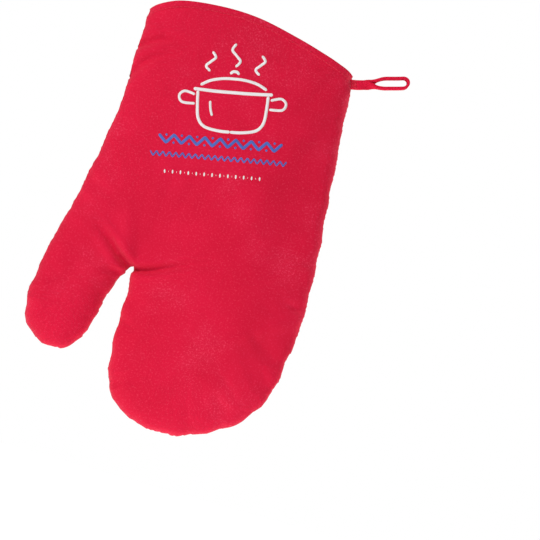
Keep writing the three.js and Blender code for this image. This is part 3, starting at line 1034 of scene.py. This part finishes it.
rings = ([hem_ring("back", p, inward) for p, inward in rim_stations("back")] + [seam_ring(1)]
         + [hem_ring("palm", p, inward) for p, inward in rim_stations("palm")] + [seam_ring(-1)])
hem = joined("cuff_hem_and_binding", [swept(rings, closed=True)])
hem.data.materials.append(binding_cloth)
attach(hem, "hand")
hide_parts("cuff_hem_back", "cuff_binding_palm")

# %% [markdown]
# ## Hanging loop
# A length of tape is folded in two and its ends are sewn into the side seam just under the cuff. There
# the two strands lie together, flat against the seam. Further out the pair turns by a quarter and the
# strands part into a small eye.

# %% The folded tape
LOOP_ROOT = Vector((79.5, 0, -27.6))
LOOP_TILT = math.radians(17.5)
LOOP_LENGTH, LOOP_TURN, STRANDS_PART = 48.5, (11.0, 25.0), (16.0, 31.0)
TAPE_WIDTH, TAPE_HALF_THICK, TAPE_STATION = 7.4, 1.1, 0.95
EYE_HALF, EYE_END = 3.8, 4.2
SAG, SWAY = 1.1, 0.5
AXIS = Vector((math.cos(LOOP_TILT), 0, math.sin(LOOP_TILT)))
ACROSS = Vector((-AXIS.z, 0, AXIS.x))


def eased(value, low, high):
    """0 below low, 1 above high, smooth between."""
    t = min(1.0, max(0.0, (value - low) / (high - low)))
    return t * t * (3 - 2 * t)


def strand_place(s, hand):
    """The middle of the tape at a distance out along the loop, on one strand (+1 or -1), and the
    direction of its width."""
    turn = eased(s, *LOOP_TURN) * math.pi / 2
    apart = Vector((0, 1, 0)) * math.cos(turn) + ACROSS * math.sin(turn)
    wide = ACROSS * math.cos(turn) - Vector((0, 1, 0)) * math.sin(turn)
    gap = TAPE_HALF_THICK * 1.05 + (EYE_HALF - TAPE_HALF_THICK) * eased(s, *STRANDS_PART)
    closing = max(0.0, (s - (LOOP_LENGTH - EYE_END)) / EYE_END)
    gap *= math.sqrt(max(0.0, 1 - closing**2))
    sag = SAG * math.sin(math.pi * min(1, s / LOOP_LENGTH)) + SWAY * math.sin(s / 6.0)
    return LOOP_ROOT + AXIS * s + apart * gap * hand - ACROSS * sag, wide


out_along = [*np.linspace(0, LOOP_LENGTH - EYE_END, 44),
             *(LOOP_LENGTH - EYE_END + EYE_END * np.sin(np.linspace(0.12, math.pi / 2, 9)))]
path = [strand_place(s, 1) for s in out_along] + [strand_place(s, -1) for s in out_along[-2::-1]]
middles = np.array([tuple(p) for p, w in path])
runs = np.gradient(middles, axis=0)
TAPE_FACE = [(-0.5, 0), (-0.47, 0.8), (-0.4, 1), (-0.2, 0.92), (0.2, 0.92), (0.4, 1), (0.47, 0.8)]
TAPE_SECTION = TAPE_FACE + [(-a, -b) for a, b in TAPE_FACE]
rings = []
for (middle, wide), run in zip(path, runs):
    run = Vector(run).normalized()
    wide = (wide - run * wide.dot(run)).normalized()
    thick = run.cross(wide)
    rings.append([(middle + wide * a * TAPE_WIDTH + thick * b * TAPE_HALF_THICK) * MM
                  for a, b in TAPE_SECTION])
tape = joined("hanging_loop_tape", [swept(rings)])
uv = tape.data.uv_layers.new(name="cloth")
for face in tape.data.polygons:
    for i in face.loop_indices:
        v = tape.data.loops[i].vertex_index
        station, place = divmod(v, len(TAPE_SECTION))
        uv.data[i].uv = (TAPE_SECTION[place][0] * TAPE_WIDTH * MM, station * TAPE_STATION * MM)
tape.data.materials.append(tape_cloth)
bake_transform(tape)
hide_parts("hanging_loop")

# %% [markdown]
# ## Print
# A screen print lies on the plain panel: a white line drawing of a steaming cooking pot, over two blue
# ornamental bands and a white one. The whole print is turned a little against the mitt. Each stroke is
# a thin film of ink that follows the cloth.

# %% Line drawing and bands
PRINT_TILT = math.radians(11)
ADVANCE = np.array([math.cos(PRINT_TILT), math.sin(PRINT_TILT)])
CLIMB = np.array([-math.sin(PRINT_TILT), math.cos(PRINT_TILT)])


def placed(line, middle):
    """A line of the print's own drawing, turned and moved to its place on the mitt."""
    line = np.asarray(line, float)
    return np.asarray(middle) + line[:, :1] * ADVANCE + line[:, 1:] * CLIMB


def mirrored(line):
    return [(-x, y) for x, y in line]


POT_AT = (-1.5, -62.0)
pot_side = [(-27, 1), (-26.5, -10), (-25, -20), (-20, -26), (-10, -28.4), (0, -28.8)]
handle = [(-29, -2), (-37, 0), (-41, -3.5), (-38.5, -8.5), (-28.5, -9)]
steam = [(0, 19), (-3.4, 23.5), (0.2, 28), (3.4, 32), (0.6, 37)]
drawing = [
    (pot_side, 2.3), (mirrored(pot_side), 2.3), (handle, 2.0), (mirrored(handle), 2.0),
    ([(-30.5, 2.4), (-15, 1.7), (0, 1.6), (15, 1.8), (30.5, 2.5)], 2.5),
    ([(-25.5, 5.6), (-18, 9.6), (-9, 11.7), (0, 12.2), (9, 11.7), (18, 9.6), (25.5, 5.6)], 2.2),
    ([(-3.4, 15.6), (-1.6, 17.6), (1.6, 17.6), (3.4, 15.6)], 2.2),
    ([(-17, -6), (-16.3, -12), (-14.6, -17.5)], 1.8),
] + [([(x * lean + at, y * tall + up) for x, y in steam], 2.0)
     for at, lean, tall, up in ((-19, 1.0, 0.85, 0.5), (0, -1.0, 1.0, 2.5), (19, 1.0, 0.85, 0.5))]
white = [stroke(placed(smooth(line), POT_AT), width) for line, width in drawing]

BANDS = {  # middle, length, number of waves, their half height, width of the line
    "bold": ((-0.8, -100.0), 95.0, 8, 3.1, 2.3),
    "fine": ((0.9, -111.8), 105.0, 21, 1.9, 1.15),
}
DOT_HALF, DOT_WIDTH = 0.9, 1.9
blue = []
for name, (middle, length, waves, height, width) in BANDS.items():
    at = np.linspace(-length / 2, length / 2, 2 * waves + 1)
    zigzag = [(x, height * (-1) ** i) for i, x in enumerate(at)]
    blue.append(stroke(placed(spaced(zigzag, 0.5), middle), width))
    if name == "bold":
        for i, x in enumerate(at[1:-1]):
            y = height * 0.95 * (-1) ** i
            blue.append(stroke(placed([(x - DOT_HALF, y), (x + DOT_HALF, y)], middle), DOT_WIDTH))
DASHES_AT, DASHES_LENGTH, DASHES, DASH_WIDTH = (0.0, -125.4), 73.0, 25, 1.2
for i, x in enumerate(np.linspace(-DASHES_LENGTH / 2, DASHES_LENGTH / 2, DASHES)):
    tall = 1.5 if i % 2 == 0 else 0.5
    white.append(stroke(placed([(x, -tall), (x, tall)], DASHES_AT), DASH_WIDTH))
for name, parts, ink, slot in (("print_of_a_pot", white, white_print, "print_white"),
                               ("print_bands", blue, blue_print, "print_blue")):
    film = joined(name, parts)
    film.data.materials.append(ink)
    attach(film, "hand")

# %% [markdown]
# ## Stitches
# Every seam here is lockstitch: short, slightly sunk lengths of thread in a row. Geometry Nodes walks
# each row of points, sets a stitch at an even pitch and turns it along the row and square to the cloth.

# %% The stitch tree
def stitch_tree():
    """Geometry Nodes that put a stitch at an even pitch along rows of points."""
    tree = bpy.data.node_groups.new("stitches", "GeometryNodeTree")
    for name, kind, value in (("Geometry", "NodeSocketGeometry", None),
                              ("Pitch", "NodeSocketFloat", 3.4 * MM),
                              ("Stitch length", "NodeSocketFloat", 2.5 * MM),
                              ("Thread radius", "NodeSocketFloat", 0.28 * MM),
                              ("Thread", "NodeSocketMaterial", None)):
        socket = tree.interface.new_socket(name, in_out="INPUT", socket_type=kind)
        if value is not None:
            socket.default_value = value
    tree.interface.new_socket("Geometry", in_out="OUTPUT", socket_type="NodeSocketGeometry")

    def add(kind, inputs=None, **options):
        node = tree.nodes.new(kind)
        for key, value in options.items():
            setattr(node, key, value)
        for key, value in (inputs or {}).items():
            if isinstance(value, bpy.types.NodeSocket):
                tree.links.new(value, node.inputs[key])
            else:
                node.inputs[key].default_value = value
        return node

    given = add("NodeGroupInput").outputs
    rows = add("GeometryNodeMeshToCurve", {"Mesh": given["Geometry"]})
    even = add("GeometryNodeResampleCurve", {"Curve": rows.outputs["Curve"], "Length": given["Pitch"]},
               mode="LENGTH")
    run = add("GeometryNodeInputTangent")
    up = add("GeometryNodeInputNamedAttribute", {"Name": "up"}, data_type="FLOAT_VECTOR")
    turned = add("FunctionNodeAxesToRotation", {"Primary Axis": run.outputs["Tangent"],
                                                "Secondary Axis": up.outputs["Attribute"]},
                 primary_axis="X", secondary_axis="Z")
    bead = add("GeometryNodeMeshUVSphere", {"Segments": 8, "Rings": 6, "Radius": 1.0})
    half = add("ShaderNodeMath", {0: given["Stitch length"], 1: 0.5}, operation="MULTIPLY")
    size = add("ShaderNodeCombineXYZ", {"X": half.outputs[0], "Y": given["Thread radius"],
                                        "Z": given["Thread radius"]})
    turned_bead = add("GeometryNodeTransform", {"Geometry": bead.outputs["Mesh"], "Scale": size.outputs[0]})
    set_down = add("GeometryNodeInstanceOnPoints", {"Points": even.outputs["Curve"],
                                                    "Instance": turned_bead.outputs["Geometry"],
                                                    "Rotation": turned.outputs["Rotation"]})
    real = add("GeometryNodeRealizeInstances", {"Geometry": set_down.outputs["Instances"]})
    smooth_shaded = add("GeometryNodeSetShadeSmooth", {"Geometry": real.outputs["Geometry"]})
    finished = add("GeometryNodeSetMaterial", {"Geometry": smooth_shaded.outputs["Geometry"],
                                               "Material": given["Thread"]})
    add("NodeGroupOutput", {"Geometry": finished.outputs["Geometry"]})
    return tree


STITCHES = stitch_tree()


def stitched(name, rows, **sizes):
    """One mesh of stitches along rows of (place, normal), with places in metres."""
    vertices = [place for row in rows for place, normal in row]
    mesh = bpy.data.meshes.new(name + "_rows")
    edges, start = [], 0
    for row in rows:
        edges += [(start + i, start + i + 1) for i in range(len(row) - 1)]
        start += len(row)
    mesh.from_pydata([tuple(v) for v in vertices], edges, [])
    ups = mesh.attributes.new("up", "FLOAT_VECTOR", "POINT")
    ups.data.foreach_set("vector", [c for row in rows for place, normal in row for c in normal])
    guide = bpy.data.objects.new(name + "_rows", mesh)
    scene.collection.objects.link(guide)
    sewing = guide.modifiers.new("stitches", "NODES")
    sewing.node_group = STITCHES
    values = {"Thread": thread, **{key.replace("_", " "): value for key, value in sizes.items()}}
    for item in STITCHES.interface.items_tree:
        if item.in_out == "INPUT" and item.name in values:
            sewing[item.identifier] = values[item.name]
    made_mesh = bpy.data.meshes.new_from_object(guide.evaluated_get(bpy.context.evaluated_depsgraph_get()))
    bpy.data.objects.remove(guide)
    made = bpy.data.objects.new(name, made_mesh)
    scene.collection.objects.link(made)
    print(name, len(rows), "rows", len(made_mesh.polygons), "faces")
    return made


# %% Quilting
ROW_NUMBERS = range(-12, 13)
ROW_REACH, ROW_STEP, ROW_CLEAR = 500, 1.5, 2.0


def row_lines(rising):
    """The quilting rows of one set as lines on the pattern, cut where they leave the panel."""
    first, pitch = (rising_first, RISING_PITCH) if rising else (falling_first, FALLING_PITCH)
    direction = np.array([COS, SIN if rising else -SIN])
    square = np.array([SIN, -COS if rising else COS])
    for k in ROW_NUMBERS:
        line = square * (first + k * pitch) + np.outer(np.arange(-ROW_REACH, ROW_REACH, ROW_STEP), direction)
        kept = inside(line, outline) & (distance_to(line, closed_outline)[0] > ROW_CLEAR)
        run = []
        for p, keep in zip(line, kept):
            if keep:
                run.append(p)
            elif run:
                yield np.array(run)
                run = []


def sewn_on(side, line, sunk=0.0):
    """A line on the pattern as places on the cloth with their normals."""
    return [(place - normal * sunk * MM, normal) for place, normal in (on_cloth(side, *p) for p in line)]


quilting = {"hand": [], "fingers": []}
for rising_set in (True, False):
    for line in row_lines(rising_set):
        in_fingers = np.array([part_of(p) == FINGERS for p in line])
        for group, mask in (("hand", ~in_fingers), ("fingers", in_fingers)):
            if mask.sum() > 3:
                quilting[group].append(sewn_on("palm", line[mask], sunk=-0.1))
quilting_nodes = [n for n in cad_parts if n.startswith("quilting_")]
for group, rows in quilting.items():
    piece = stitched(f"quilting_stitches_{group}", rows)
    bends(piece, group)
    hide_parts(*[n for n in quilting_nodes if ("fingers" in n) == (group == "fingers")])

# %% Hem, binding and bar tack
CUFF_STITCHES_DOWN = {"back": 4.5, "palm": 6.6}


def along_rim(side, down, lift):
    """Places on the cloth at a distance down from the cuff's edge."""
    found = [on_cloth(side, *(p + inward * down)) for p, inward in rim_stations(side)]
    return [(place + normal * lift * MM, normal) for place, normal in found]


for side, down in CUFF_STITCHES_DOWN.items():
    stitching = stitched(f"{side}_cuff_stitches", [along_rim(side, down, HEM[side][1])], Pitch=3.0 * MM)
    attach(stitching, "hand")
    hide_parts("hem_stitching_back" if side == "back" else "binding_stitching_palm")

TACK_ROWS, TACK_OUT, TACK_SHARE = 7, 6.2, 0.75
rows = []
for hand in (-1, 1):
    for i in range(TACK_ROWS):
        height = (i / (TACK_ROWS - 1) - 0.5) * TAPE_WIDTH * TACK_SHARE
        place = strand_place(TACK_OUT, hand)[0] + ACROSS * height + Vector((0, hand * TAPE_HALF_THICK, 0))
        rows.append([((place + AXIS * d) * MM, Vector((0, hand, 0))) for d in (-1.0, 0, 1.0)])
tack = stitched("loop_bar_tack_stitches", rows, Pitch=2.0 * MM, Stitch_length=2.2 * MM)
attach(tack, "hand")
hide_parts("loop_bar_tack")
